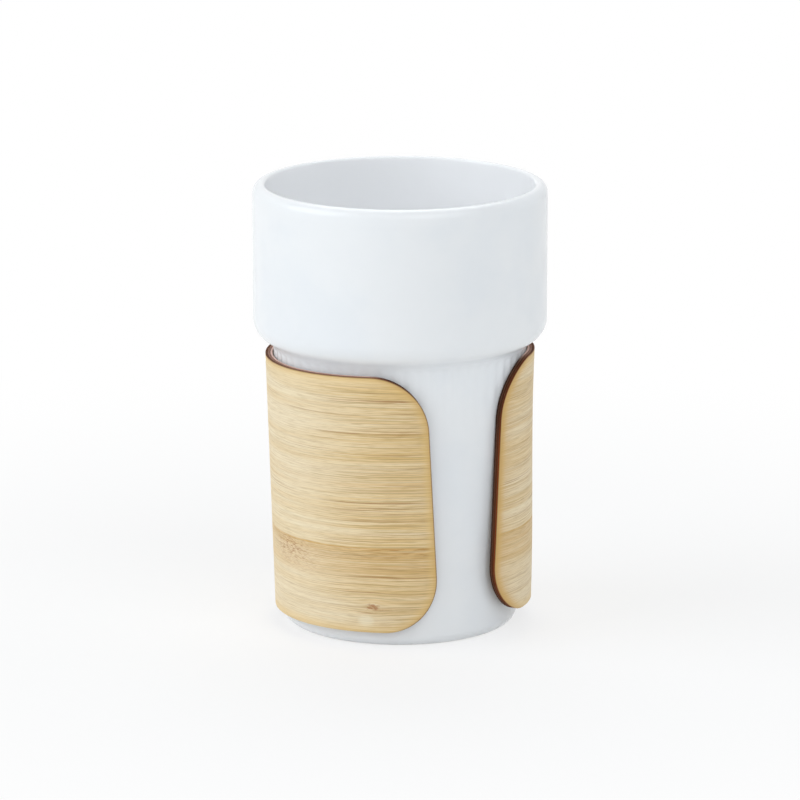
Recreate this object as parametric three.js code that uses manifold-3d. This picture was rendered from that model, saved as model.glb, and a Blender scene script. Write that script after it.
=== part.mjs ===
// A porcelain tumbler with a clip-on sleeve of bent bamboo laminate.
// Millimetres, +Z up. The origin is the middle of the foot, on the surface that the cup stands on.
// The open front of the sleeve faces -Y.
import * as THREE from "three";
import { mergeVertices } from "three/addons/utils/BufferGeometryUtils.js";
import Module from "manifold-3d";

const wasm = await Module();
wasm.setup();

// Cup, outside
const CUP_HEIGHT = 124.7;
const COLLAR_RADIUS = 41;
const COLLAR_SIDE = 37.8; // straight side of the collar, up to the top of the lip
const COLLAR_OVERHANG = 5.55; // how far the collar stands out over the neck
const SHOULDER_SLOPE = 30; // degrees, rise of the collar's underside at the neck
const SHOULDER_ROUNDING = 6.4;
const NECK_ROUNDING = 0.8;
const BODY_TAPER = 1.95; // degrees, lean of the lower body's side
const FOOT_ROUNDING = 3.5;

// Cup, inside
const RIM_WALL = 3.5;
const LIP_ROUNDING = 2.6; // outer rounding of the lip
const LIP_LAND = 0.1; // flat crest of the lip
const BODY_WALL = 3.3;
const FLOOR_THICKNESS = 3.8;
const FLOOR_ROUNDING = 9;
const LEDGE_HOLLOW = 4.5; // rounding where the collar's inside meets the ledge
const LEDGE_EDGE = 3; // rounding where the ledge runs over into the lower body

// Foot ring, left standing round a shallow hollow
const FOOT_RING_WIDTH = 3.4;
const FOOT_HOLLOW_DEPTH = 1.6;
const FOOT_HOLLOW_FLARE = 1.2; // sideways run of the hollow's slanting wall

// Flutes under the collar, deepest at the neck and running out down the body
const FLUTE_COUNT = 60;
const FLUTE_DEPTH = 0.4;
const FLUTE_LENGTH = 19.6;
const FLUTE_LAND = 0.9; // crest left between two flutes at the neck
const FLUTE_PHASE = 1.5; // degrees, first flute to the right of the front

// Sleeve: three plies pressed to the cup's taper, open at the front
const SLEEVE_CLEARANCE = 0.25;
const SLEEVE_FOOT_GAP = 4.4;
const SLEEVE_NECK_GAP = 3.4;
const PLY_THICKNESS = 0.6;
const GLUE_LINE = 0.1;
const PLY_NAMES = ["sleeve_back_veneer", "sleeve_core_ply", "sleeve_face_veneer"];
const FRONT_GAP_TOP = 25.4; // between the two ends, along the face, at the top edge
const FRONT_GAP_BOTTOM = 15;
const CORNER_ROUNDING = 15.5;

// The sleeve hugs the cup from its left end on, its right end springs off the cup a little,
// and its edges ride up towards both ends
const HUG_SHARE = 0.3; // share of the sweep that lies close to the cup
const SPRING_TOP = -0.05; // how much further off the right end stands, at its top and bottom
const SPRING_BOTTOM = 1.95;
const SPRING_START = 0.05; // share of the height, from the top, that stays close
const LEFT_LIFT_TOP = 1.15; // how much higher the edges lie at the left end
const LEFT_LIFT_BOTTOM = 0.5;
const RIGHT_LIFT_TOP = 1.55; // how much higher they lie at the right end
const RIGHT_LIFT_BOTTOM = 2.2;

// Facets
const CUP_FACETS = 120;
const HOLLOW_FACETS = 60;
const CUTTER_FACETS = 10;
const CUTTER_NOSE_RINGS = 3;
const CORNER_STATIONS = 8;
const SWEEP_STATIONS = 46;

// Derived sizes
const slope = THREE.MathUtils.degToRad(SHOULDER_SLOPE);
const taper = Math.tan(THREE.MathUtils.degToRad(BODY_TAPER));
const neckRadius = COLLAR_RADIUS - COLLAR_OVERHANG;
const shoulderTangent = SHOULDER_ROUNDING * Math.tan(Math.PI / 4 - slope / 2);
const shoulderCorner = CUP_HEIGHT - COLLAR_SIDE - shoulderTangent;
const neckHeight = shoulderCorner - COLLAR_OVERHANG * Math.tan(slope);
const sleeveThickness = PLY_NAMES.length * PLY_THICKNESS + (PLY_NAMES.length - 1) * GLUE_LINE;
const sleeveTop = neckHeight - SLEEVE_NECK_GAP;
const sleeveBottom = SLEEVE_FOOT_GAP;

// Radius of the lower body's plain side at height z
function sideRadius(z) {
  return neckRadius - (neckHeight - z) * taper;
}

// Profile through corners [r, z, rounding, steps]: a rounded corner becomes a tangent arc
function roundedProfile(corners) {
  const points = [];
  corners.forEach(([r, z, rounding = 0, steps = 0], i) => {
    const corner = new THREE.Vector2(r, z);
    if (rounding === 0) {
      points.push(corner);
      return;
    }
    const back = new THREE.Vector2(...corners[i - 1]).sub(corner).normalize();
    const ahead = new THREE.Vector2(...corners[i + 1]).sub(corner).normalize();
    const half = Math.acos(back.dot(ahead)) / 2;
    const centre = back.clone().add(ahead).setLength(rounding / Math.sin(half)).add(corner);
    const spoke = back.multiplyScalar(rounding / Math.tan(half)).add(corner).sub(centre);
    const rim = ahead.multiplyScalar(rounding / Math.tan(half)).add(corner).sub(centre);
    const turn = Math.atan2(spoke.cross(rim), spoke.dot(rim));
    for (let step = 0; step <= steps; step++) {
      const arm = spoke.clone().rotateAround(new THREE.Vector2(), (turn * step) / steps);
      points.push(arm.add(centre));
    }
  });
  return points;
}

// Closed geometry as a solid that can be cut
function solidOf(geometry) {
  geometry.deleteAttribute("normal");
  geometry.deleteAttribute("uv");
  const merged = mergeVertices(geometry, 1e-5);
  const corners = merged.index.array;
  const triangles = [];
  for (let i = 0; i < corners.length; i += 3) {
    const [a, b, c] = corners.slice(i, i + 3);
    if (a !== b && b !== c && c !== a) triangles.push(a, b, c);
  }
  return new wasm.Manifold(
    new wasm.Mesh({
      numProp: 3,
      vertProperties: merged.attributes.position.array,
      triVerts: new Uint32Array(triangles),
    }),
  );
}

// Geometry of a finished solid
function geometryOf(solid) {
  const { vertProperties, triVerts } = solid.getMesh();
  const geometry = new THREE.BufferGeometry();
  geometry.setAttribute("position", new THREE.Float32BufferAttribute(vertProperties, 3));
  geometry.setIndex(new THREE.Uint32BufferAttribute(triVerts, 1));
  geometry.computeVertexNormals();
  return geometry;
}

// Solid turned about the Z axis from a profile that starts and ends on it
function turned(corners, facets) {
  return solidOf(new THREE.LatheGeometry(roundedProfile(corners), facets).rotateX(Math.PI / 2));
}

// Outside of the cup: foot ring, side, shoulder, collar and lip, with no hollow in it yet
function cupOutside() {
  const side = sideRadius(0);
  const ringInner = side - FOOT_ROUNDING - FOOT_RING_WIDTH;
  return turned(
    [
      [0, FOOT_HOLLOW_DEPTH],
      [ringInner - FOOT_HOLLOW_FLARE, FOOT_HOLLOW_DEPTH],
      [ringInner, 0],
      [side, 0, FOOT_ROUNDING, 4],
      [neckRadius, neckHeight, NECK_ROUNDING, 2],
      [COLLAR_RADIUS, shoulderCorner, SHOULDER_ROUNDING, 6],
      [COLLAR_RADIUS, CUP_HEIGHT, LIP_ROUNDING, 4],
      [0, CUP_HEIGHT],
    ],
    CUP_FACETS,
  );
}

// Hollow of the cup: floor, lower body, ledge behind the shoulder, collar and flare of the lip
function cupHollow() {
  const insideCollar = COLLAR_RADIUS - RIM_WALL;
  const insideNeck = neckRadius - BODY_WALL;
  const ledgeLow = neckHeight + BODY_WALL / Math.cos(slope) - BODY_WALL * Math.tan(slope);
  const ledgeHigh = ledgeLow + (insideCollar - insideNeck) * Math.tan(slope);
  const floor = FOOT_HOLLOW_DEPTH + FLOOR_THICKNESS;
  const mouth = COLLAR_RADIUS - LIP_ROUNDING - LIP_LAND;
  const above = CUP_HEIGHT + LIP_ROUNDING;
  return turned(
    [
      [0, floor],
      [sideRadius(floor) - BODY_WALL, floor, FLOOR_ROUNDING, 4],
      [insideNeck, ledgeLow, LEDGE_EDGE, 3],
      [insideCollar, ledgeHigh, LEDGE_HOLLOW, 3],
      [insideCollar, CUP_HEIGHT, mouth - insideCollar, 2],
      [mouth, CUP_HEIGHT],
      [mouth, above],
      [0, above],
    ],
    HOLLOW_FACETS,
  );
}

// Round-nosed cutter for one flute, lying along the side on the +X half of the XZ plane
function fluteCutter() {
  const width = (2 * Math.PI * neckRadius) / FLUTE_COUNT - FLUTE_LAND;
  const radius = (width * width) / (8 * FLUTE_DEPTH) + FLUTE_DEPTH / 2;
  const upperZ = neckHeight - radius;
  const lowerZ = neckHeight - FLUTE_LENGTH;
  const upper = new THREE.Vector2(sideRadius(upperZ) + radius - FLUTE_DEPTH, upperZ);
  const lower = new THREE.Vector2(sideRadius(lowerZ) + radius, lowerZ);
  const lean = Math.atan2(upper.x - lower.x, upper.y - lower.y);
  const middle = upper.clone().add(lower).divideScalar(2);
  return new THREE.CapsuleGeometry(radius, upper.distanceTo(lower), CUTTER_NOSE_RINGS, CUTTER_FACETS)
    .rotateX(Math.PI / 2)
    .rotateY(lean)
    .translate(middle.x, 0, middle.y);
}

// The whole cup: outside less its hollow and its ring of flutes
function cupGeometry() {
  const cutter = fluteCutter();
  let cup = cupOutside().subtract(cupHollow());
  for (let i = 0; i < FLUTE_COUNT; i++) {
    const angle = THREE.MathUtils.degToRad(FLUTE_PHASE - 90 + (360 * i) / FLUTE_COUNT);
    cup = cup.subtract(solidOf(cutter.clone().rotateZ(angle)));
  }
  return geometryOf(cup);
}

// Share of the right end's spring at a place along the sweep, 0 at the left end and 1 at the right
function springAt(along) {
  return THREE.MathUtils.smoothstep(along, HUG_SHARE, 1);
}

// How much higher an edge lies at a place along the sweep than at its lowest
function liftAt(along, left, right) {
  return left * (1 - THREE.MathUtils.smoothstep(along, 0, HUG_SHARE)) + right * springAt(along);
}

// Half of the front gap, as an angle, at height z
function halfGapAngle(z) {
  const up = (z - sleeveBottom) / (sleeveTop - sleeveBottom);
  const gap = THREE.MathUtils.lerp(FRONT_GAP_BOTTOM, FRONT_GAP_TOP, up);
  return gap / 2 / (sideRadius(z) + SLEEVE_CLEARANCE + sleeveThickness);
}

// Point of the sleeve: place along the sweep, height, and depth out from the inner face
function sleevePoint(along, z, depth) {
  const down = (sleeveTop - z) / (sleeveTop - sleeveBottom);
  const loose = THREE.MathUtils.smoothstep(down, SPRING_START, 1);
  const spring = springAt(along) * THREE.MathUtils.lerp(SPRING_TOP, SPRING_BOTTOM, loose);
  const radius = sideRadius(z) + SLEEVE_CLEARANCE + spring + depth;
  const start = halfGapAngle(z);
  const angle = start + along * 2 * (Math.PI - start);
  return new THREE.Vector3(-radius * Math.sin(angle), -radius * Math.cos(angle), z);
}

// How far a rounded corner draws an edge in, at a distance from the sleeve's nearer end
function cornerDrop(distance) {
  const reach = Math.max(CORNER_ROUNDING - distance, 0);
  return CORNER_ROUNDING - Math.sqrt(CORNER_ROUNDING * CORNER_ROUNDING - reach * reach);
}

// Places along the sweep: close together round the corners, then evenly spaced to the other end
function sweepStations() {
  const middle = (sleeveTop + sleeveBottom) / 2;
  const radius = sideRadius(middle) + SLEEVE_CLEARANCE + sleeveThickness;
  const length = 2 * (Math.PI - halfGapAngle(middle)) * radius;
  const stations = [];
  for (let i = 0; i < CORNER_STATIONS; i++) {
    const distance = CORNER_ROUNDING * (1 - Math.cos((Math.PI / 2) * (i / CORNER_STATIONS)));
    stations.push({ along: distance / length, distance });
    stations.push({ along: 1 - distance / length, distance });
  }
  for (let i = 0; i <= SWEEP_STATIONS; i++) {
    const share = i / SWEEP_STATIONS;
    const along = (CORNER_ROUNDING + (length - 2 * CORNER_ROUNDING) * share) / length;
    stations.push({ along, distance: CORNER_ROUNDING });
  }
  return stations.sort((a, b) => a.along - b.along);
}

// One ply lofted along the sweep, a thin upright section at every station
function plyGeometry(depth) {
  const sections = sweepStations().map(({ along, distance }) => {
    const drop = cornerDrop(distance);
    const top = sleeveTop + liftAt(along, LEFT_LIFT_TOP, RIGHT_LIFT_TOP) - drop;
    const bottom = sleeveBottom + liftAt(along, LEFT_LIFT_BOTTOM, RIGHT_LIFT_BOTTOM) + drop;
    return [
      sleevePoint(along, bottom, depth),
      sleevePoint(along, bottom, depth + PLY_THICKNESS),
      sleevePoint(along, top, depth + PLY_THICKNESS),
      sleevePoint(along, top, depth),
    ];
  });
  return loftGeometry(sections);
}

// Closed loft through sections of equally many corners, with a flat cap on both ends.
// Opposite sides are split along matching diagonals, so that nested plies stay clear of each other.
function loftGeometry(sections) {
  const size = sections[0].length;
  const triangles = [];
  for (let i = 0; i + 1 < sections.length; i++) {
    for (let j = 0; j < size; j++) {
      const a = i * size + j;
      const b = i * size + ((j + 1) % size);
      if (j < size / 2) {
        triangles.push(a, b, b + size, a, b + size, a + size);
      } else {
        triangles.push(a, b, a + size, b, b + size, a + size);
      }
    }
  }
  const last = (sections.length - 1) * size;
  for (let j = 1; j + 1 < size; j++) {
    triangles.push(0, j + 1, j);
    triangles.push(last, last + j, last + j + 1);
  }
  const geometry = new THREE.BufferGeometry().setFromPoints(sections.flat());
  geometry.setIndex(triangles);
  geometry.computeVertexNormals();
  return geometry;
}

const glazedPorcelain = new THREE.MeshStandardMaterial({ color: 0xf0f3f5, roughness: 0.22, metalness: 0 });
const plyFinishes = [
  new THREE.MeshStandardMaterial({ color: 0x8a6446, roughness: 0.75, metalness: 0 }),
  new THREE.MeshStandardMaterial({ color: 0x593d31, roughness: 0.8, metalness: 0 }),
  new THREE.MeshStandardMaterial({ color: 0xd9c49a, roughness: 0.6, metalness: 0 }),
];

const tumbler = new THREE.Group();

const cup = new THREE.Mesh(cupGeometry(), glazedPorcelain);
cup.name = "porcelain_cup";
tumbler.add(cup);

const sleeve = new THREE.Group();
PLY_NAMES.forEach((name, i) => {
  const ply = new THREE.Mesh(plyGeometry(i * (PLY_THICKNESS + GLUE_LINE)), plyFinishes[i]);
  ply.name = name;
  sleeve.add(ply);
});
tumbler.add(sleeve);

export default tumbler;
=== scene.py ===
"""Porcelain tumbler with a clip-on bamboo sleeve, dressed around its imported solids.

Size fields are in millimetres and the scene is in metres, +Z up. The cup stands on the floor at the
origin, and the open front of the sleeve faces -Y.
"""

import logging
import math
from dataclasses import dataclass
from enum import Enum
from typing import Any, Callable, NamedTuple, Optional, Union

import bmesh
import bpy
import numpy as np
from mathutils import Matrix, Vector


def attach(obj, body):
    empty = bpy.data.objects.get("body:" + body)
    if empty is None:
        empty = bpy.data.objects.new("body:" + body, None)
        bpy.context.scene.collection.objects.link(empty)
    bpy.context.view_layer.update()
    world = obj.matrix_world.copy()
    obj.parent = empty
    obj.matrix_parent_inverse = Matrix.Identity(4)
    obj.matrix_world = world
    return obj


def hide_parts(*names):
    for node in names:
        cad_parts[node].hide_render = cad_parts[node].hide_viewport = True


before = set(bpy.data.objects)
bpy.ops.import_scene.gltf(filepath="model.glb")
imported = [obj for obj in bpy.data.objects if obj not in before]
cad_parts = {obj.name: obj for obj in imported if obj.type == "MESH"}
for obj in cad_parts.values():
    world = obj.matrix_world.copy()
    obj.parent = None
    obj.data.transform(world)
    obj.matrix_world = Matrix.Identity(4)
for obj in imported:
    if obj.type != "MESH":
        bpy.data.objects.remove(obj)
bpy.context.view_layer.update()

LOG = logging.getLogger("tumbler")
MM = 0.001
NEAR = 0.01 * MM
FLAT_MAP = "flat"
FLAT_SPAN = 250.0

Number = Union["Value", float]
Colour = tuple[float, float, float, float]
Corner = tuple[float, float, float, int]
Point = tuple[float, float]
Paint = Union[Colour, bpy.types.NodeSocket]


def paint(red: float, green: float, blue: float) -> Colour:
    """Linear colour of a colour as it is seen on a screen.

    Args:
        red: Red, 0 to 255.
        green: Green, 0 to 255.
        blue: Blue, 0 to 255.

    Returns:
        The colour as a shader takes it.
    """
    channels = [channel / 255 for channel in (red, green, blue)]
    linear = [c / 12.92 if c <= 0.04045 else ((c + 0.055) / 1.055) ** 2.4 for c in channels]
    return (linear[0], linear[1], linear[2], 1.0)


class Value:
    """One number of a shader: an output socket whose arithmetic adds Math nodes."""

    def __init__(self, shader: "Shader", socket: bpy.types.NodeSocket) -> None:
        """Keep the shader and the socket that carries the number."""
        self.shader = shader
        self.socket = socket

    def __add__(self, other: Number) -> "Value":
        """Sum of the two."""
        return self.shader.math("ADD", self, other)

    __radd__ = __add__

    def __sub__(self, other: Number) -> "Value":
        """This less the other."""
        return self.shader.math("SUBTRACT", self, other)

    def __rsub__(self, other: Number) -> "Value":
        """The other less this."""
        return self.shader.math("SUBTRACT", other, self)

    def __mul__(self, other: Number) -> "Value":
        """Product of the two."""
        return self.shader.math("MULTIPLY", self, other)

    def __truediv__(self, other: Number) -> "Value":
        """This over the other."""
        return self.shader.math("DIVIDE", self, other)

    def __rtruediv__(self, other: Number) -> "Value":
        """The other over this."""
        return self.shader.math("DIVIDE", other, self)

    def __abs__(self) -> "Value":
        """This without its sign."""
        return self.shader.math("ABSOLUTE", self)

    def __pow__(self, exponent: float) -> "Value":
        """This to a power."""
        return self.shader.math("POWER", self, exponent)

    def at_least(self, low: Number) -> "Value":
        """This or the low bound, whichever is more."""
        return self.shader.math("MAXIMUM", self, low)

    def at_most(self, high: Number) -> "Value":
        """This or the high bound, whichever is less."""
        return self.shader.math("MINIMUM", self, high)

    def floor(self) -> "Value":
        """Whole part of this."""
        return self.shader.math("FLOOR", self)

    def rise(self, low: float, high: float) -> "Value":
        """Smooth share of the way from low to high.

        Args:
            low: Where the share is 0.
            high: Where the share is 1. It may be under low.

        Returns:
            The share, 0 to 1.
        """
        made = self.shader.node(
            "ShaderNodeMapRange",
            {"interpolation_type": "SMOOTHSTEP"},
            {"Value": self, "From Min": low, "From Max": high},
        )
        return Value(self.shader, made.outputs[0])


class Shader:
    """Node tree of a material or of the world."""

    def __init__(self, owner: Union[bpy.types.Material, bpy.types.World]) -> None:
        """Start an empty tree.

        Args:
            owner: The material or the world that it shades.
        """
        owner.use_nodes = True
        self.owner = owner
        self.tree = owner.node_tree
        self.tree.nodes.clear()

    def node(
        self,
        kind: str,
        settings: Optional[dict[str, Any]] = None,
        sockets: Optional[dict[Union[str, int], Any]] = None,
    ) -> bpy.types.Node:
        """Add a node.

        Args:
            kind: Type of the node.
            settings: Properties that are set first.
            sockets: Values or links of its inputs, by name or number.

        Returns:
            The node.
        """
        made = self.tree.nodes.new(kind)
        for name, setting in (settings or {}).items():
            setattr(made, name, setting)
        for name, given in (sockets or {}).items():
            source = given.socket if isinstance(given, Value) else given
            if isinstance(source, bpy.types.NodeSocket):
                self.tree.links.new(source, made.inputs[name])
            else:
                made.inputs[name].default_value = source
        return made

    def math(self, operation: str, *terms: Number) -> Value:
        """Result of a Math node with these terms."""
        made = self.node("ShaderNodeMath", {"operation": operation}, dict(enumerate(terms)))
        return Value(self, made.outputs[0])

    def mix(self, share: Number, first: Paint, second: Paint) -> bpy.types.NodeSocket:
        """Blend of two colours by the share of the second."""
        made = self.node("ShaderNodeMix", {"data_type": "RGBA"}, {0: share, 6: first, 7: second})
        return made.outputs[2]

    def noise(self, x: Number, y: Number, z: Number = 0.0, detail: float = 2.0) -> Value:
        """Soft noise with grains about one unit across.

        Args:
            x: First coordinate.
            y: Second coordinate.
            z: Third coordinate, or a number that picks another noise.
            detail: How many finer layers it has.

        Returns:
            The noise, mostly 0.3 to 0.7.
        """
        place = self.node("ShaderNodeCombineXYZ", None, {0: x, 1: y, 2: z})
        made = self.node(
            "ShaderNodeTexNoise",
            None,
            {"Vector": place.outputs[0], "Scale": 1.0, "Detail": detail, "Roughness": 0.55},
        )
        return Value(self, made.outputs[0])

    def flat(self) -> tuple[Value, Value]:
        """Place on the sheet that the sleeve is cut from.

        Returns:
            Millimetres from the left end, and millimetres from the lower edge.
        """
        place = self.node("ShaderNodeUVMap", {"uv_map": FLAT_MAP})
        parts = self.node("ShaderNodeSeparateXYZ", None, {0: place.outputs[0]})
        return Value(self, parts.outputs[0]) * FLAT_SPAN, Value(self, parts.outputs[1]) * FLAT_SPAN

    def solid(self) -> tuple[Value, Value, Value]:
        """Place in the piece.

        Returns:
            Millimetres along X, Y and Z.
        """
        place = self.node("ShaderNodeTexCoord")
        parts = self.node("ShaderNodeSeparateXYZ", None, {0: place.outputs["Object"]})
        return tuple(Value(self, part) * (1 / MM) for part in parts.outputs)

    def bump(self, height: Value, depth: float) -> bpy.types.NodeSocket:
        """Normal of a relief whose height is 0 to 1, with the millimetres that 1 stands for."""
        made = self.node("ShaderNodeBump", None, {"Distance": depth * MM, "Height": height})
        return made.outputs[0]

    def surface(self, **sockets: Any) -> bpy.types.Material:
        """End the tree in a Principled surface.

        Args:
            sockets: Its inputs, with _ for the space in their names.

        Returns:
            The material.
        """
        named = {name.replace("_", " "): given for name, given in sockets.items()}
        shaded = self.node("ShaderNodeBsdfPrincipled", None, named)
        self.node("ShaderNodeOutputMaterial", None, {"Surface": shaded.outputs[0]})
        return self.owner

    def seen_directly(self) -> Value:
        """Whether a ray comes from the eye, a mirror or a glass.

        Returns:
            1 for such a ray and 0 for the light that bounces about.
        """
        path = self.node("ShaderNodeLightPath")
        kinds = ("Is Camera Ray", "Is Glossy Ray", "Is Transmission Ray")
        camera, glossy, through = (Value(self, path.outputs[kind]) for kind in kinds)
        return camera.at_least(glossy).at_least(through)


@dataclass(frozen=True)
class GlazedPorcelain:
    """Cool white glaze over the cup, wiped off the foot ring before firing, with the inside of the
    cup painted whiter as painted light against its shade.
    """

    glaze: Colour = paint(244, 246, 248)
    pooled: Colour = paint(240, 243, 246)
    # painted light: whiter colour for the inside of the cup, where shade falls
    inner: Colour = paint(252, 253, 255)
    bare: Colour = paint(226, 222, 214)
    bare_height: float = 0.5
    bare_fade: float = 0.35
    wall_radius: float = 31.1
    wall_taper: float = 0.034
    wall_fade: float = 0.8
    collar_rise: Point = (79.0, 86.0)
    collar_step: float = 4.9
    widest_wall: float = 39.0
    floor_rise: Point = (3.0, 4.0)

    def material(self) -> bpy.types.Material:
        """Make the finish.

        Returns:
            The material.
        """
        shader = Shader(bpy.data.materials.new("glazed_porcelain"))
        x, y, z = shader.solid()
        cloud, ripple, grain = (
            shader.noise(x / size, y / size, z / size, detail)
            for size, detail in ((24.0, 3.0), (3.2, 1.0), (0.25, 2.0))
        )
        bare = z.rise(self.bare_height, self.bare_height - self.bare_fade)
        step = z.rise(*self.collar_rise) * self.collar_step
        middle_of_wall = (z * self.wall_taper + self.wall_radius + step).at_most(self.widest_wall)
        within = middle_of_wall - (x ** 2 + y ** 2) ** 0.5
        inside = within.rise(-self.wall_fade, self.wall_fade) * z.rise(*self.floor_rise)
        glaze = shader.mix(cloud.rise(0.38, 0.66), self.glaze, self.pooled)
        # painted light: the inside of the cup is painted whiter to lift the shade inside it
        glaze = shader.mix(inside, glaze, self.inner)
        relief = ripple * 0.12 * (1 - bare) + grain * bare
        return shader.surface(
            Base_Color=shader.mix(bare, glaze, self.bare),
            Roughness=(0.2 + cloud * 0.08) * (1 - bare) + bare * 0.8,
            Normal=shader.bump(relief, 0.05),
            IOR=1.5,
            Subsurface_Weight=0.45,
            Subsurface_Radius=(1.0, 1.0, 1.0),
            Subsurface_Scale=5.0 * MM,
        )


@dataclass(frozen=True)
class BambooSheet:
    """Size of the sheet that the grain and the browning follow, in millimetres."""

    length: float
    height: float
    corner: float

    def depth(self, along: Value, up: Value) -> Value:
        """How far a place lies inside the outline of the sheet.

        Args:
            along: Millimetres from the left end.
            up: Millimetres from the lower edge.

        Returns:
            Millimetres to the nearest edge.
        """
        past_end = abs(along - self.length / 2) - (self.length / 2 - self.corner)
        past_edge = abs(up - self.height / 2) - (self.height / 2 - self.corner)
        reach = (past_end.at_least(0.0) ** 2 + past_edge.at_least(0.0) ** 2) ** 0.5
        inner = past_end.at_least(past_edge).at_most(0.0)
        return self.corner - reach - inner


@dataclass(frozen=True)
class Grain:
    """Streaks of bamboo: millimetres, a number that picks the noise, and its finer layers."""

    length: float
    width: float
    seed: float
    layers: float = 1.0

    def noise(self, shader: Shader, run: Value, cross: Value) -> Value:
        """Noise of the streaks, from the places along and across them."""
        return shader.noise(run / self.length, cross / self.width, self.seed, self.layers)


class Spot(NamedTuple):
    """Tree and the place that it shades, in millimetres from the left end and the lower edge."""

    shader: Shader
    along: Value
    up: Value


@dataclass(frozen=True)
class BambooFace:
    """Sanded face veneer: fine fibres, glued strips, one node, one knot and browned edges."""

    sheet: BambooSheet
    pale: Colour = paint(246, 231, 200)
    straw: Colour = paint(229, 197, 137)
    bright: Colour = paint(252, 243, 217)
    fibre: Colour = paint(179, 147, 87)
    band: Colour = paint(216, 175, 108)
    stain: Colour = paint(186, 138, 74)
    fleck: Colour = paint(160, 108, 42)
    russet: Colour = paint(166, 102, 54)
    honey: Colour = paint(238, 204, 135)
    toast: Colour = paint(202, 159, 88)
    char: Colour = paint(122, 82, 52)
    broad: Grain = Grain(80.0, 2.6, 1.7, 2.0)
    middle: Grain = Grain(40.0, 0.8, 5.3)
    fine: Grain = Grain(36.0, 0.25, 8.9)
    hair: Grain = Grain(4.5, 0.16, 2.2)
    gleam: Grain = Grain(26.0, 0.25, 18.6)
    vessel: Grain = Grain(42.0, 0.3, 12.4)
    patch: Grain = Grain(30.0, 4.0, 15.8)
    smear: Grain = Grain(5.0, 0.5, 33.0, 2.0)
    speck: Grain = Grain(1.2, 0.4, 27.0, 2.0)
    stroke: Grain = Grain(1.7, 0.42, 21.0)
    counter_stroke: Grain = Grain(0.42, 1.7, 23.0)
    strip_height: float = 8.1
    seam_height: float = 24.0
    darker_strip: Point = (39.4, 43.8)
    node_place: Point = (47.0, 21.5)
    knot_place: Point = (18.5, 7.4)
    ripe_left: Point = (44.0, 6.0)
    ripe_right: Point = (34.0, 12.0)
    browned_end: Point = (17.0, 5.0)
    browned_top: Point = (40.0, 62.0)

    def material(self) -> bpy.types.Material:
        """Make the finish.

        Returns:
            The material.
        """
        shader = Shader(bpy.data.materials.new("bamboo_face"))
        along, up = shader.flat()
        spot = Spot(shader, along, up)
        right = (self.sheet.length - along).rise(*self.ripe_right)
        ripe = along.rise(*self.ripe_left).at_least(right * 0.26)
        line = self.fibre_height(spot)
        kinds = (self.broad, self.middle, self.fine, self.hair, self.gleam)
        broad, middle, fine, hair, gleam = (kind.noise(shader, along, line) for kind in kinds)
        deeper, stained = self.strips(spot, ripe)
        dark_knot, pale_knot = self.knot(spot)
        tone = broad.rise(0.35, 0.65) * 0.4 + ripe * 0.6 - up.rise(14.0, 6.0) * 0.32
        ground = shader.mix(tone, self.pale, self.straw)
        layers = (
            (deeper, self.band),
            (stained, self.stain),
            (middle.rise(0.45, 0.75) * 0.08, self.fibre),
            (gleam.rise(0.5, 0.66) * (0.22 + ripe * 0.08), self.bright),
            (fine.rise(0.52, 0.63) * (0.2 + ripe * 0.38), self.fibre),
            (hair.rise(0.46, 0.7) * (0.27 + ripe * 0.13), self.fibre),
            (self.vessels(spot, line, ripe), self.fleck),
            (self.node_ring(spot), self.russet),
            (pale_knot, self.bright),
            (dark_knot, self.russet),
        )
        for share, colour in layers:
            ground = shader.mix(share, ground, colour)
        ground, browned = self.browning(spot, ground, fine)
        relief = middle * 0.3 + fine * 0.45 + hair * 0.25
        return shader.surface(
            Base_Color=ground,
            Roughness=0.56 + fine * 0.16 - browned * 0.06,
            Normal=shader.bump(relief, 0.04),
            IOR=1.45,
        )

    def fibre_height(self, spot: Spot) -> Value:
        """Height of the fibre through a place. Fibres sway a little and part round the knot.

        Args:
            spot: The place.

        Returns:
            The height, in millimetres.
        """
        shader, along, up = spot
        sway = (shader.noise(along / 60, up / 40, 3.1) - 0.5) * 1.4
        aside = along - self.knot_place[0]
        over = up - self.knot_place[1]
        parting = 0.7 / (1 + (aside / 2.4) ** 2 + (over / 1.6) ** 2)
        return up + sway - over * parting

    def strips(self, spot: Spot, ripe: Value) -> tuple[Value, Value]:
        """Deeper tone of some of the strips that the veneer is glued up from, and the stain of one.

        Args:
            spot: The place.
            ripe: Share by which the veneer darkens towards its ends.

        Returns:
            The share of the deeper tone and the strength of the stain, 0 to 1.
        """
        shader, along, up = spot
        row = (up / self.strip_height + 0.05).floor() + 0.5
        tone = shader.node("ShaderNodeTexWhiteNoise", {"noise_dimensions": "1D"}, {"W": row})
        over = up - self.seam_height
        below = over.rise(0.2, -0.1)
        golden = over.rise(-10.0, -7.0) * below * (0.28 + ripe * 0.26)
        smear = self.smear.noise(shader, along, up).rise(0.44, 0.62)
        stained = over.rise(-4.4, -1.4) * below * smear * (0.14 + ripe * 0.62)
        low, high = self.darker_strip
        darker = up.rise(low, low + 1.8) * up.rise(high, high - 1.0) * (0.06 + ripe * 0.24)
        seam = abs(over).rise(0.4, 0.0) * (0.5 + smear * 0.4)
        deeper = Value(shader, tone.outputs["Value"]) * 0.14 + golden + darker + seam
        return deeper.at_most(1.0), stained

    def vessels(self, spot: Spot, line: Value, ripe: Value) -> Value:
        """Dark vessel lines, long and thin and stronger towards the left end.

        Args:
            spot: The place.
            line: Height of the fibre, in millimetres.
            ripe: Share by which the veneer darkens towards its ends.

        Returns:
            Strength of the lines, 0 to 1.
        """
        run = self.vessel.noise(spot.shader, spot.along, line)
        patch = self.patch.noise(spot.shader, spot.along, line)
        strength = patch.rise(0.42, 0.62) * 0.4 + ripe * 0.42
        return run.rise(0.61, 0.67) * strength * (0.4 + line.rise(5.0, 14.0) * 0.6)

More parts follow.
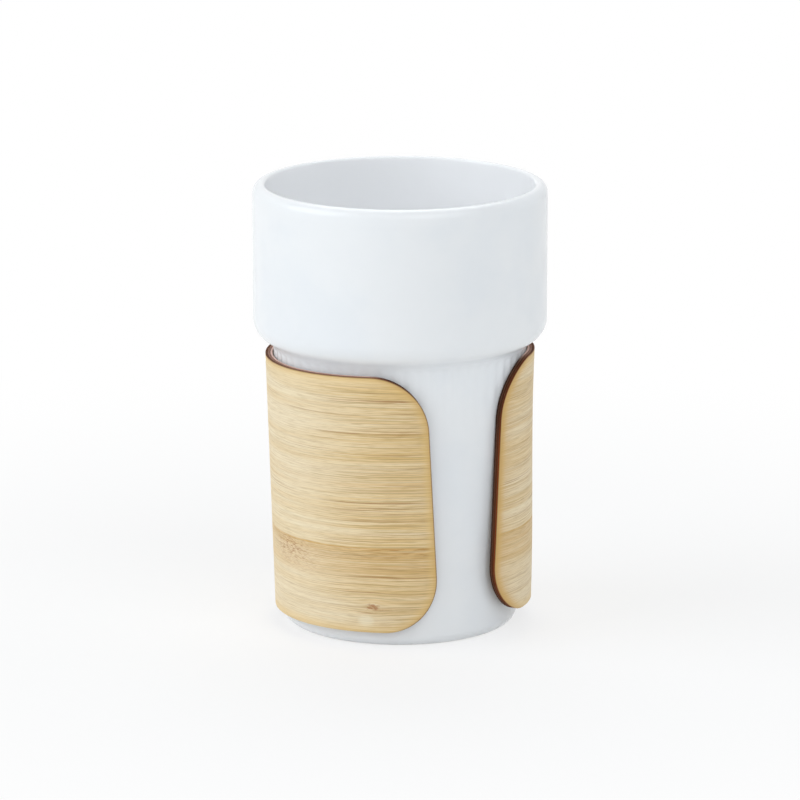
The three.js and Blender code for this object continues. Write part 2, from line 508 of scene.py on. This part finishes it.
    def node_ring(self, spot: Spot) -> Value:
        """Slanting strokes where one strip has a node of the cane.

        Args:
            spot: The place.

        Returns:
            Strength of the strokes, 0 to 1.
        """
        shader, along, up = spot
        aside = along - self.node_place[0]
        over = up - self.node_place[1]
        core = 1 / (1 + (aside / 6.0) ** 4 + (over / 3.0) ** 4)
        faint = aside.rise(-17.0, -7.0) * aside.rise(11.0, 1.0) * over.rise(-8.5, -4.5)
        inside = (core * 0.8 + faint * 0.3) * (up - self.seam_height).rise(0.1, -0.4)
        lean = along * 0.4
        down, across = (
            kind.noise(shader, lean + up, lean - up).rise(0.48, 0.64)
            for kind in (self.stroke, self.counter_stroke)
        )
        return inside * (down + across) * 0.36

    def knot(self, spot: Spot) -> tuple[Value, Value]:
        """Small knot with a thin tail to each side and a pale patch under it.

        Args:
            spot: The place.

        Returns:
            Strength of its dark marks and of its pale ones, 0 to 1.
        """
        shader, along, up = spot
        speck = self.speck.noise(shader, along, up)
        aside = along - self.knot_place[0]
        over = up - self.knot_place[1]
        eye = ((aside / 2.2) ** 2 + (over / 1.2) ** 2 + speck * 3.2).rise(2.5, 1.5)
        first = abs(over + 0.9).rise(0.4, 0.0) * aside.rise(0.8, -0.6) * aside.rise(-9.0, -2.0)
        second = abs(over + 1.8).rise(0.4, 0.0) * aside.rise(-1.6, 0.4) * aside.rise(5.5, 1.5)
        warm = (((aside + 3.0) / 2.0) ** 2 + ((over + 5.6) / 1.6) ** 2 + speck).rise(1.8, 0.5)
        pale = (((aside - 2.2) / 2.6) ** 2 + ((over + 4.2) / 2.0) ** 2 + speck).rise(1.8, 0.5)
        dark = eye * 0.75 + (first + second) * speck.rise(0.3, 0.55) * 0.45 + warm * 0.1
        return dark.at_most(1.0), pale * 0.45

    def browning(self, spot: Spot, ground: Paint, fine: Value) -> tuple[Paint, Value]:
        """Browning that the hot cut left along the outline, widest at the right end.

        Args:
            spot: The place.
            ground: Colour without the browning.
            fine: Noise of the fine fibres, along which the browning creeps in.

        Returns:
            The browned colour and the share of browning.
        """
        shader, along, up = spot
        depth = self.sheet.depth(along, up)
        left = along.rise(*self.browned_end)
        right = (self.sheet.length - along).rise(*self.browned_end)
        top = up.rise(*self.browned_top)
        hot = (left * 0.6).at_least(right).at_least(top * 0.8)
        honeyed = depth.rise(3.4, 0.4) * (0.25 + fine * 0.5 + right * 0.2)
        reach = depth / ((0.35 + left * 0.5 + right * 1.9 + top * 0.2) * (0.4 + fine * 1.2))
        toasted = (0.25 + hot * 0.55) / (1 + reach ** 2)
        charred = depth.rise(0.4, 0.05) * (left * 0.8).at_least(hot * 0.7)
        colour = shader.mix(honeyed, ground, self.honey)
        colour = shader.mix(toasted, colour, self.toast)
        return shader.mix(charred, colour, self.char), toasted


@dataclass(frozen=True)
class BrownedEdge:
    """Cut edge of one ply, browned by the hot cut towards its ends, and darker still towards the
    top of its ends.
    """

    name: str
    sheet: BambooSheet
    mild: Colour
    burnt: Colour
    upper_end_tone: Colour = paint(44, 22, 14)
    patch: Grain = Grain(9.0, 9.0, 4.0, 2.0)
    burnt_end: Point = (17.0, 9.0)
    upper_end_rise: Point = (48.0, 60.0)

    def material(self) -> bpy.types.Material:
        """Make the finish.

        Returns:
            The material.
        """
        shader = Shader(bpy.data.materials.new(self.name))
        along, up = shader.flat()
        x, y, z = shader.solid()
        streak = shader.noise(x / 0.5, y / 0.5, z / 3.0, 2.0)
        patch = self.patch.noise(shader, along, up)
        end = along.at_most(self.sheet.length - along).rise(*self.burnt_end)
        tone = shader.mix(end, self.mild, self.burnt)
        # darker still towards the top of each end
        tone = shader.mix(end * up.rise(*self.upper_end_rise) * 0.55, tone, self.upper_end_tone)
        shade = streak.rise(0.4, 0.7) * 0.2 + patch.rise(0.4, 0.7) * 0.2
        return shader.surface(
            Base_Color=shader.mix(shade, tone, self.burnt),
            Roughness=0.7 + streak * 0.15,
            Normal=shader.bump(streak, 0.06),
            Specular_IOR_Level=0.15,
        )


@dataclass(frozen=True)
class BambooBack:
    """Unsanded bamboo with its fibres up and down or round the cup, browned towards its edges."""

    name: str
    sheet: BambooSheet
    upright: bool
    char: Colour
    pale: Colour = paint(218, 194, 160)
    dark: Colour = paint(188, 156, 116)
    middle: Grain = Grain(20.0, 0.9, 31.0, 2.0)
    fine: Grain = Grain(8.0, 0.25, 37.0, 2.0)
    browned_edge: float = 2.5

    def material(self) -> bpy.types.Material:
        """Make the finish.

        Returns:
            The material.
        """
        shader = Shader(bpy.data.materials.new(self.name))
        along, up = shader.flat()
        run, cross = (up, along) if self.upright else (along, up)
        middle = self.middle.noise(shader, run, cross)
        fine = self.fine.noise(shader, run, cross)
        ground = shader.mix(middle.rise(0.35, 0.65), self.pale, self.dark)
        ground = shader.mix(fine.rise(0.5, 0.75) * 0.4, ground, self.char)
        browned = self.sheet.depth(along, up).rise(self.browned_edge, 0.0)
        return shader.surface(
            Base_Color=shader.mix(browned * 0.8, ground, self.char),
            Roughness=0.68 + fine * 0.16,
            Normal=shader.bump(middle * 0.5 + fine * 0.5, 0.05),
            IOR=1.45,
        )


@dataclass(frozen=True)
class PaleFloor:
    """Plain pale floor that looks white and keeps the shadow of what stands on it. Millimetres."""

    colour: Colour = paint(250, 250, 250)
    clouded: Colour = paint(228, 228, 228)
    cloud_size: float = 300.0
    near_glow: float = 0.7
    near: float = 60.0
    far: float = 320.0

    def material(self) -> bpy.types.Material:
        """Make the finish.

        Returns:
            The material.
        """
        shader = Shader(bpy.data.materials.new("pale_floor"))
        x, y, _ = shader.solid()
        cloud = shader.noise(x / self.cloud_size, y / self.cloud_size)
        colour = shader.mix(cloud * 0.04, self.colour, self.clouded)
        matt = shader.node("ShaderNodeBsdfDiffuse", None, {"Color": colour})
        glow = shader.node("ShaderNodeEmission", None, {"Strength": 1.0})
        away = ((x ** 2 + y ** 2) ** 0.5).rise(self.near, self.far)
        share = shader.seen_directly() * (self.near_glow + away * (1 - self.near_glow))
        both = shader.node(
            "ShaderNodeMixShader", None, {0: share, 1: matt.outputs[0], 2: glow.outputs[0]}
        )
        shader.node("ShaderNodeOutputMaterial", None, {"Surface": both.outputs[0]})
        return shader.owner


class Bench:
    """One mesh on the bench, in edit mode until it is lifted off."""

    def __init__(self, name: str) -> None:
        """Take the primitive that was just added into edit mode.

        Args:
            name: Name of the piece.
        """
        self.piece = bpy.context.object
        self.piece.name = name
        self.piece.data.name = name
        bpy.ops.object.transform_apply(location=True, rotation=True, scale=True)
        bpy.ops.object.mode_set(mode="EDIT")
        bpy.ops.mesh.select_mode(type="VERT")
        bpy.ops.mesh.select_all(action="SELECT")

    @staticmethod
    def clear() -> None:
        """Deselect everything before a new piece is started."""
        bpy.ops.object.select_all(action="DESELECT")
        bpy.context.view_layer.objects.active = None

    def select(self, chosen: Callable[[Vector], bool]) -> None:
        """Select vertices by their place.

        Args:
            chosen: Says of a place whether its vertex is wanted.
        """
        bpy.ops.mesh.select_all(action="DESELECT")
        mesh = bmesh.from_edit_mesh(self.piece.data)
        for vertex in mesh.verts:
            vertex.select = chosen(vertex.co)
        mesh.select_flush_mode()
        bmesh.update_edit_mesh(self.piece.data)

    def extrude_ring(self, old: Point, new: Point) -> None:
        """Extrude the selected ring to another radius and height.

        Args:
            old: Radius and height of the selected ring, in millimetres.
            new: Radius and height of the ring to come, in millimetres.
        """
        rise = (0.0, 0.0, (new[1] - old[1]) * MM)
        share = new[0] / old[0]
        bpy.ops.mesh.extrude_region_move(TRANSFORM_OT_translate={"value": rise})
        bpy.ops.transform.resize(value=(share, share, 1.0), center_override=(0.0, 0.0, new[1] * MM))

    def close_ring(self, ring: Point) -> None:
        """Close the selected ring with a flat floor.

        Args:
            ring: Its radius and height, in millimetres.
        """
        for share in (0.6, 0.25):
            inner = (ring[0] * share, ring[1])
            self.extrude_ring(ring, inner)
            ring = inner
        self.extrude_ring(ring, (ring[0] * 0.5, ring[1]))
        bpy.ops.mesh.merge(type="CENTER")

    def cut(self, place: float, across: Vector) -> None:
        """Cut the whole mesh straight across a direction, at millimetres from the origin."""
        bpy.ops.mesh.select_all(action="SELECT")
        bpy.ops.mesh.bisect(plane_co=across * place * MM, plane_no=across)

    def lift(self) -> bpy.types.Object:
        """Leave edit mode with the finished piece."""
        bpy.ops.object.mode_set(mode="OBJECT")
        return self.piece


def pick(piece: bpy.types.Object) -> None:
    """Make a piece the only selected one and the active one.

    Args:
        piece: The piece.
    """
    Bench.clear()
    piece.select_set(True)
    bpy.context.view_layer.objects.active = piece


def finish_with(piece: bpy.types.Object, kind: str, **settings: Any) -> None:
    """Put a modifier on a piece and apply it.

    Args:
        piece: The piece, which becomes the active one.
        kind: Type of the modifier.
        settings: Its properties.
    """
    pick(piece)
    modifier = piece.modifiers.new(kind.lower(), kind)
    for name, setting in settings.items():
        setattr(modifier, name, setting)
    bpy.ops.object.modifier_apply(modifier=modifier.name)


def smooth(piece: bpy.types.Object, angle: float = 60.0) -> None:
    """Shade a piece smooth where its faces meet at less than an angle, in degrees."""
    pick(piece)
    bpy.ops.object.shade_smooth_by_angle(angle=math.radians(angle))


def on_ring(place: Vector, ring: Point) -> bool:
    """Whether a vertex lies on a ring of a radius and a height in millimetres."""
    off = Vector((place.xy.length, place.z)) - Vector(ring) * MM
    return off.length < NEAR


def hand_over(piece: bpy.types.Object, body: str, node: str) -> None:
    """Tell the frame what a piece stands for.

    Args:
        piece: The finished piece.
        body: Body that it moves with.
        node: Solid that it replaces.
    """
    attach(piece, body)
    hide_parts(node)
    LOG.info("%s: %d faces, moves with %s", piece.name, len(piece.data.polygons), body)


def rounded(corners: list[Corner]) -> list[Point]:
    """Profile through corners, with a tangent arc at each that has a rounding.

    Args:
        corners: Radius, height, rounding and number of arc steps of each corner, in millimetres.

    Returns:
        Radius and height of each point.
    """
    points: list[Point] = []
    for i, (radius, height, rounding, steps) in enumerate(corners):
        corner = Vector((radius, height))
        if rounding == 0:
            points.append((radius, height))
            continue
        back = (Vector(corners[i - 1][:2]) - corner).normalized()
        ahead = (Vector(corners[i + 1][:2]) - corner).normalized()
        half = back.angle(ahead) / 2
        centre = corner + (back + ahead).normalized() * (rounding / math.sin(half))
        spoke = corner + back * (rounding / math.tan(half)) - centre
        rim = corner + ahead * (rounding / math.tan(half)) - centre
        turn = math.atan2(spoke.x * rim.y - spoke.y * rim.x, spoke.dot(rim))
        for step in range(steps + 1):
            angle = turn * step / steps
            arm_x = spoke.x * math.cos(angle) - spoke.y * math.sin(angle)
            arm_y = spoke.x * math.sin(angle) + spoke.y * math.cos(angle)
            points.append((centre.x + arm_x, centre.y + arm_y))
    return points


def smooth_share(place: np.ndarray, low: float, high: float) -> np.ndarray:
    """Smooth shares, 0 to 1, of the way from low to high at some places."""
    share = np.clip((place - low) / (high - low), 0.0, 1.0)
    return share * share * (3.0 - 2.0 * share)


def spaced(points: list[Point], step: float) -> list[Point]:
    """Profile with more points on its long straights.

    Args:
        points: Radius and height of each point, in millimetres.
        step: Longest distance left between two points.

    Returns:
        The points and those put between them.
    """
    filled = [points[0]]
    for before, after in zip(points, points[1:]):
        parts = max(1, math.ceil(math.dist(before, after) / step))
        for part in range(1, parts + 1):
            share = part / parts
            radius = before[0] + (after[0] - before[0]) * share
            height = before[1] + (after[1] - before[1]) * share
            filled.append((radius, height))
    return filled


@dataclass
class Cup:
    """The porcelain cup, one casting from its foot ring to its lip. Millimetres and degrees."""

    height: float = 124.7
    collar_radius: float = 41.0
    collar_side: float = 37.8
    collar_overhang: float = 5.55
    shoulder_slope: float = 30.0
    shoulder_rounding: float = 6.4
    neck_rounding: float = 1.9
    body_taper: float = 1.95
    foot_rounding: float = 3.5
    rim_wall: float = 3.5
    lip_rounding: float = 2.6
    lip_inner_rounding: float = 0.8
    body_wall: float = 3.3
    floor_thickness: float = 3.8
    floor_rounding: float = 9.0
    ledge_hollow: float = 4.5
    ledge_edge: float = 3.0
    foot_ring_width: float = 3.4
    foot_hollow_depth: float = 1.6
    foot_hollow_flare: float = 1.2
    foot_hollow_rounding: float = 0.6
    foot_ring_rounding: float = 0.5
    flat_margin: float = 2.0
    flute_count: int = 60
    flute_depth: float = 0.4
    flute_length: float = 19.6
    flute_phase: float = 1.5
    flute_points: int = 3
    depth_left_by_subdividing: float = 0.75
    ring_step: float = 6.0

    @property
    def slope(self) -> float:
        """Rise of the collar's underside, in radians."""
        return math.radians(self.shoulder_slope)

    @property
    def neck_radius(self) -> float:
        """Radius where the body meets the collar."""
        return self.collar_radius - self.collar_overhang

    @property
    def shoulder_tangent(self) -> float:
        """Length that the shoulder's arc takes from the collar's side."""
        return self.shoulder_rounding * math.tan(math.pi / 4 - self.slope / 2)

    @property
    def shoulder_corner(self) -> float:
        """Height of the corner that the shoulder rounds off."""
        return self.height - self.collar_side - self.shoulder_tangent

    @property
    def neck_height(self) -> float:
        """Height where the body meets the collar."""
        return self.shoulder_corner - self.collar_overhang * math.tan(self.slope)

    def side_radius(self, height: Any) -> Any:
        """Radius of the body's side at a height."""
        taper = math.tan(math.radians(self.body_taper))
        return self.neck_radius - (self.neck_height - height) * taper

    def flute_rings(self) -> list[tuple[float, float]]:
        """Rings that the flutes are pressed into.

        Returns:
            Height of each ring and the share of the flutes' depth there, from the bottom up.
        """
        drops = [18.0, 15.5, 13.0, 10.5, 8.0, 5.5, 3.4, 2.0, 1.1]
        shares = [0.0, 0.14, 0.28, 0.42, 0.56, 0.7, 0.82, 0.8, 0.55]
        scale = self.flute_length / drops[0]
        return [(self.neck_height - drop * scale, share) for drop, share in zip(drops, shares)]

    def profile(self) -> list[Point]:
        """Rings of the cup.

        Returns:
            Radius and height of each, from the edge of the foot hollow over the lip to the floor.
        """
        side = self.side_radius(0)
        ring_inner = side - self.foot_rounding - self.foot_ring_width
        hollow = ring_inner - self.foot_hollow_flare
        floor = self.foot_hollow_depth + self.floor_thickness
        inside_collar = self.collar_radius - self.rim_wall
        inside_neck = self.neck_radius - self.body_wall
        ledge_lift = 1 / math.cos(self.slope) - math.tan(self.slope)
        ledge_low = self.neck_height + self.body_wall * ledge_lift
        ledge_high = ledge_low + (inside_collar - inside_neck) * math.tan(self.slope)
        floor_radius = self.side_radius(floor) - self.body_wall
        corners: list[Corner] = [
            (hollow - self.flat_margin, self.foot_hollow_depth, 0, 0),
            (hollow, self.foot_hollow_depth, self.foot_hollow_rounding, 3),
            (ring_inner, 0.0, self.foot_ring_rounding, 3),
            (side, 0.0, self.foot_rounding, 7),
        ]
        corners += [(self.side_radius(height), height, 0, 0) for height, _ in self.flute_rings()]
        corners += [
            (self.neck_radius, self.neck_height, self.neck_rounding, 3),
            (self.collar_radius, self.shoulder_corner, self.shoulder_rounding, 9),
            (self.collar_radius, self.height, self.lip_rounding, 8),
            (inside_collar, self.height, self.lip_inner_rounding, 5),
            (inside_collar, ledge_high, self.ledge_hollow, 5),
            (inside_neck, ledge_low, self.ledge_edge, 5),
            (floor_radius, floor, self.floor_rounding, 7),
            (floor_radius - self.floor_rounding - self.flat_margin, floor, 0, 0),
        ]
        return spaced(rounded(corners), self.ring_step)

    def build(self) -> bpy.types.Object:
        """Turn the cup ring by ring, press its flutes and dress it.

        Returns:
            The cup.
        """
        rings = self.profile()
        Bench.clear()
        bpy.ops.mesh.primitive_circle_add(
            vertices=self.flute_count * self.flute_points,
            radius=rings[0][0] * MM,
            location=(0.0, 0.0, rings[0][1] * MM),
            rotation=(0.0, 0.0, math.radians(self.flute_phase)),
        )
        bench = Bench("porcelain_cup_body")
        for old, new in zip(rings, rings[1:]):
            bench.extrude_ring(old, new)
        bench.close_ring(rings[-1])
        bench.select(lambda co: on_ring(co, rings[0]))
        bench.close_ring(rings[0])
        self.press_flutes(bench)
        bpy.ops.mesh.select_all(action="SELECT")
        bpy.ops.mesh.normals_make_consistent(inside=False)
        cup = bench.lift()
        finish_with(cup, "SUBSURF", levels=1, render_levels=1)
        smooth(cup)
        cup.data.materials.append(GlazedPorcelain().material())
        return cup

    def press_flutes(self, bench: Bench) -> None:
        """Press the flutes into the rings under the collar.

        Args:
            bench: The bench with the cup on it.
        """
        for height, share in self.flute_rings():
            if share > 0:
                ring = (self.side_radius(height), height)
                bench.select(lambda co: on_ring(co, ring) and self.in_groove(co))
                pressed = share * self.flute_depth / self.depth_left_by_subdividing
                inward = 1 - pressed / ring[0]
                bpy.ops.transform.resize(
                    value=(inward, inward, 1.0), center_override=(0.0, 0.0, height * MM)
                )

    def in_groove(self, place: Vector) -> bool:
        """Whether a vertex lies in the middle of a flute, within a tenth of their spacing."""
        turn = math.degrees(math.atan2(place.y, place.x)) + 90 - self.flute_phase
        return abs(math.remainder(turn * self.flute_count, 360)) < 36


class PlyPlace(Enum):
    """Place of a ply in the laminate, counted from the cup outwards."""

    BACK = 0
    CORE = 1
    FACE = 2


@dataclass
class Sleeve:
    """Three plies of bamboo, cut flat and rolled round the cup's body. Millimetres and degrees."""

    cup: Cup
    clearance: float = 0.25
    foot_gap: float = 4.4
    neck_gap: float = 3.4
    ply_thickness: float = 0.6
    glue_line: float = 0.1
    front_gap_top: float = 25.4
    front_gap_bottom: float = 15.0
    corner_rounding: float = 15.5
    hug_share: float = 0.3
    spring_top: float = -0.05
    spring_bottom: float = 1.95
    spring_start: float = 0.05
    left_lift_top: float = 1.15
    left_lift_bottom: float = 0.5
    right_lift_top: float = 1.55
    right_lift_bottom: float = 2.2
    eased_edge: float = 0.06
    eased_angle: float = 50.0
    shading_angle: float = 25.0
    corner_segments: int = 22
    cuts_along: int = 190
    cuts_up: int = 12

    @property
    def top(self) -> float:
        """Height of the upper edge at its lowest."""
        return self.cup.neck_height - self.neck_gap

    @property
    def height(self) -> float:
        """Height of the flat sheet."""
        return self.top - self.foot_gap

    @property
    def thickness(self) -> float:
        """Thickness of the laminate."""
        return len(PlyPlace) * self.ply_thickness + (len(PlyPlace) - 1) * self.glue_line

    @property
    def length(self) -> float:
        """Length of the flat sheet at half its height."""
        middle = (self.top + self.foot_gap) / 2
        radius = self.cup.side_radius(middle) + self.clearance + self.thickness
        return 2 * (math.pi - float(self.half_gap(np.array(middle)))) * radius

    @property
    def sheet(self) -> BambooSheet:
        """Outline of the flat sheet."""
        return BambooSheet(self.length, self.height, self.corner_rounding)

    def half_gap(self, height: np.ndarray) -> np.ndarray:
        """Half of the front gap at some heights, as an angle.

        Args:
            height: The heights.

        Returns:
            The angles, in radians.
        """
        up = (height - self.foot_gap) / self.height
        gap = self.front_gap_bottom + (self.front_gap_top - self.front_gap_bottom) * up
        return gap / 2 / (self.cup.side_radius(height) + self.clearance + self.thickness)

    def rolled(self, along: np.ndarray, up: np.ndarray, depth: float) -> np.ndarray:
        """Places of the flat sheet once it is rolled round the cup.

        Args:
            along: Millimetres from the left end.
            up: Millimetres from the lower edge.
            depth: Millimetres out from the laminate's inner face.

        Returns:
            The places, in metres, one row each.
        """
        share = along / self.length
        level = up / self.height
        spring = smooth_share(share, self.hug_share, 1.0)
        close = 1 - smooth_share(share, 0.0, self.hug_share)
        lift_top = self.left_lift_top * close + self.right_lift_top * spring
        lift_bottom = self.left_lift_bottom * close + self.right_lift_bottom * spring
        height = self.foot_gap + up + lift_bottom + (lift_top - lift_bottom) * level
        loose = smooth_share((self.top - height) / self.height, self.spring_start, 1.0)
        off = self.spring_top + (self.spring_bottom - self.spring_top) * loose
        radius = self.cup.side_radius(height) + self.clearance + spring * off + depth
        start = self.half_gap(height)
        angle = start + share * 2 * (math.pi - start)
        return np.stack([-radius * np.sin(angle), -radius * np.cos(angle), height], axis=1) * MM

    def flat_sheet(self) -> bpy.types.Object:
        """Cut the sheet with its rounded corners and rule it for rolling.

        Returns:
            The flat sheet, its lower left corner at the origin.
        """
        Bench.clear()
        bpy.ops.mesh.primitive_plane_add(size=1.0, location=(0.5, 0.5, 0.0))
        bench = Bench("flat_sheet")
        size = (self.length * MM, self.height * MM, 1.0)
        bpy.ops.transform.resize(value=size, center_override=(0.0, 0.0, 0.0))
        bpy.ops.mesh.bevel(
            offset=self.corner_rounding * MM,
            segments=self.corner_segments,
            affect="VERTICES",
            profile=0.5,
        )
        for i in range(1, self.cuts_along):
            bench.cut(self.length * i / self.cuts_along, Vector((1.0, 0.0, 0.0)))
        for i in range(1, self.cuts_up):
            bench.cut(self.height * i / self.cuts_up, Vector((0.0, 1.0, 0.0)))
        sheet = bench.lift()
        self.mark_flat(sheet.data)
        return sheet

    @staticmethod
    def mark_flat(mesh: bpy.types.Mesh) -> None:
        """Keep the flat places as a UV map, so that the grain follows the sheet.

        Args:
            mesh: Mesh of the flat sheet.
        """
        places = np.empty(len(mesh.vertices) * 3)
        mesh.vertices.foreach_get("co", places)
        corners = np.empty(len(mesh.loops), dtype=np.int32)
        mesh.loops.foreach_get("vertex_index", corners)
        flat = places.reshape(-1, 3)[corners, :2] / (FLAT_SPAN * MM)
        layer = mesh.uv_layers.new(name=FLAT_MAP)
        layer.uv.foreach_set("vector", flat.ravel())

    def ply(self, sheet: bpy.types.Object, place: PlyPlace, name: str) -> bpy.types.Object:
        """Roll one ply, give it its thickness and ease its edges.

        Args:
            sheet: The flat sheet, which is copied.
            place: Place of the ply in the laminate.
            name: Name of the piece.

        Returns:
            The ply.
        """
        pick(sheet)
        bpy.ops.object.duplicate(linked=False)
        ply = bpy.context.object
        ply.name = name
        ply.data.name = name
        flat = np.empty(len(ply.data.vertices) * 3)
        ply.data.vertices.foreach_get("co", flat)
        flat = flat.reshape(-1, 3) / MM
        depth = place.value * (self.ply_thickness + self.glue_line)
        ply.data.vertices.foreach_set("co", self.rolled(flat[:, 0], flat[:, 1], depth).ravel())
        bpy.ops.object.mode_set(mode="EDIT")
        bpy.ops.mesh.select_all(action="SELECT")
        bpy.ops.mesh.flip_normals()
        bpy.ops.object.mode_set(mode="OBJECT")
        finish_with(
            ply, "SOLIDIFY", thickness=self.ply_thickness * MM, offset=1.0, material_offset_rim=1
        )
        finish_with(
            ply,
            "BEVEL",
            width=self.eased_edge * MM,
            segments=2,
            limit_method="ANGLE",
            angle_limit=math.radians(self.eased_angle),
        )
        smooth(ply, self.shading_angle)
        return ply

    def build(self) -> dict[PlyPlace, bpy.types.Object]:
        """Make and dress the three plies.

        Returns:
            The plies by their place.
        """
        pattern = self.flat_sheet()
        sheet = self.sheet
        looks = {
            PlyPlace.BACK: (
                "sleeve_back",
                BambooBack("bamboo_back", sheet, False, paint(112, 80, 58)),
                BrownedEdge("browned_back", sheet, paint(236, 201, 188), paint(68, 40, 28)),
            ),
            PlyPlace.CORE: (
                "sleeve_core",
                BambooBack("bamboo_core", sheet, True, paint(34, 18, 12)),
                BrownedEdge("browned_core", sheet, paint(167, 128, 112), paint(92, 44, 18)),
            ),
            PlyPlace.FACE: (
                "sleeve_face",
                BambooFace(sheet),
                BrownedEdge("browned_face", sheet, paint(104, 71, 56), paint(124, 59, 20)),
            ),
        }
        plies = {}
        for place, (name, *finishes) in looks.items():
            pattern.data.materials.clear()
            for finish in finishes:
                pattern.data.materials.append(finish.material())
            plies[place] = self.ply(pattern, place, name)
        bpy.data.objects.remove(pattern)
        return plies


@dataclass(frozen=True)
class Softbox:
    """Round soft lamp aimed at the cup.

    Degrees left of the view and over the floor, metres and watts.
    """

    name: str
    turn: float
    rise: float
    size: float
    power: float
    distance: float = 1.7
    aim_height: float = 0.07

    def hang(self, view_turn: float, tint: tuple[float, float, float]) -> None:
        """Hang the lamp.

        Args:
            view_turn: Where the view is from, in degrees to the left of the sleeve's open front.
            tint: Colour of its light.
        """
        turn = math.radians(view_turn + self.turn)
        rise = math.radians(self.rise)
        flat = math.cos(rise)
        way = Vector((-math.sin(turn) * flat, -math.cos(turn) * flat, math.sin(rise)))
        lamp = bpy.data.lights.new(self.name, "AREA")
        lamp.shape = "DISK"
        lamp.size = self.size
        lamp.energy = self.power
        lamp.color = tint
        hung = bpy.data.objects.new(self.name, lamp)
        hung.location = Vector((0.0, 0.0, self.aim_height)) + way * self.distance
        hung.rotation_euler = way.to_track_quat("Z", "Y").to_euler()
        bpy.context.scene.collection.objects.link(hung)


@dataclass
class Studio:
    """Pale floor, soft light that is strongest from the left, and the photograph's view.

    Metres and degrees, the lens and its sensor in millimetres.
    """

    floor_size: float = 8.0
    cove: tuple[Point, ...] = ((0.5, 0.05), (0.45, 0.2), (0.3, 0.4), (0.1, 0.6))
    view_turn: float = 30.5
    view_distance: float = 1.4905
    view_height: float = 0.42073
    view_dip: float = 13.51
    view_reach: float = 50.0
    lens: float = 246.54
    sensor: float = 36.0
    ambient: float = 0.3
    tint: tuple[float, float, float] = (0.955, 1.0, 1.035)
    softboxes: tuple[Softbox, ...] = (
        Softbox("key", 75.0, 30.0, 1.6, 14.8),
        Softbox("fill", -35.0, 40.0, 1.4, 8.0),
        Softbox("front", 0.0, 20.0, 1.4, 2.1),
        Softbox("back", 180.0, 55.0, 1.2, 6.9),
        Softbox("side", -115.0, 30.0, 1.4, 2.0),
    )

    def build(self) -> None:
        """Set up the whole studio."""
        self.lay_floor()
        self.light_room()
        for softbox in self.softboxes:
            softbox.hang(self.view_turn, self.tint)
        self.place_camera()

    def lay_floor(self) -> None:
        """Lay the floor, its far side swept up into a low cove."""
        Bench.clear()
        bpy.ops.mesh.primitive_plane_add(size=self.floor_size)
        bench = Bench("studio_floor")
        far = self.floor_size / 2 - NEAR
        bench.select(lambda co: co.y > far)
        for run, rise in self.cove:
            bpy.ops.mesh.extrude_region_move(TRANSFORM_OT_translate={"value": (0.0, run, rise)})
        floor = bench.lift()
        smooth(floor)
        floor.data.materials.append(PaleFloor().material())

    def light_room(self) -> None:
        """Even pale light from all round, white where it is looked at."""
        world = bpy.data.worlds.new("studio")
        shader = Shader(world)
        strength = self.ambient + shader.seen_directly() * (1 - self.ambient)
        white = (1.0, 1.0, 1.0, 1.0)
        glow = shader.node("ShaderNodeBackground", None, {"Color": white, "Strength": strength})
        shader.node("ShaderNodeOutputWorld", None, {"Surface": glow.outputs[0]})
        bpy.context.scene.world = world

    def place_camera(self) -> None:
        """Place the camera where the photograph was taken from."""
        turn = math.radians(self.view_turn)
        lens = bpy.data.cameras.new("view")
        lens.sensor_width = self.sensor
        lens.lens = self.lens
        lens.clip_end = self.view_reach
        camera = bpy.data.objects.new("view", lens)
        camera.location = (
            -self.view_distance * math.sin(turn),
            -self.view_distance * math.cos(turn),
            self.view_height,
        )
        camera.rotation_euler = (math.radians(90 - self.view_dip), 0.0, -turn)
        bpy.context.scene.collection.objects.link(camera)
        bpy.context.scene.camera = camera


def main() -> None:
    """Build the cup, the sleeve and the studio."""
    logging.basicConfig(level=logging.INFO, format="%(name)s: %(message)s")
    bpy.context.scene.view_settings.view_transform = "Standard"
    cup = Cup()
    hand_over(cup.build(), "cup", "porcelain_cup")
    plies = Sleeve(cup).build()
    hand_over(plies[PlyPlace.FACE], "sleeve", "sleeve_face_veneer")
    hand_over(plies[PlyPlace.CORE], "sleeve", "sleeve_core_ply")
    hand_over(plies[PlyPlace.BACK], "sleeve", "sleeve_back_veneer")
    Studio().build()


if __name__ == "__main__":
    main()
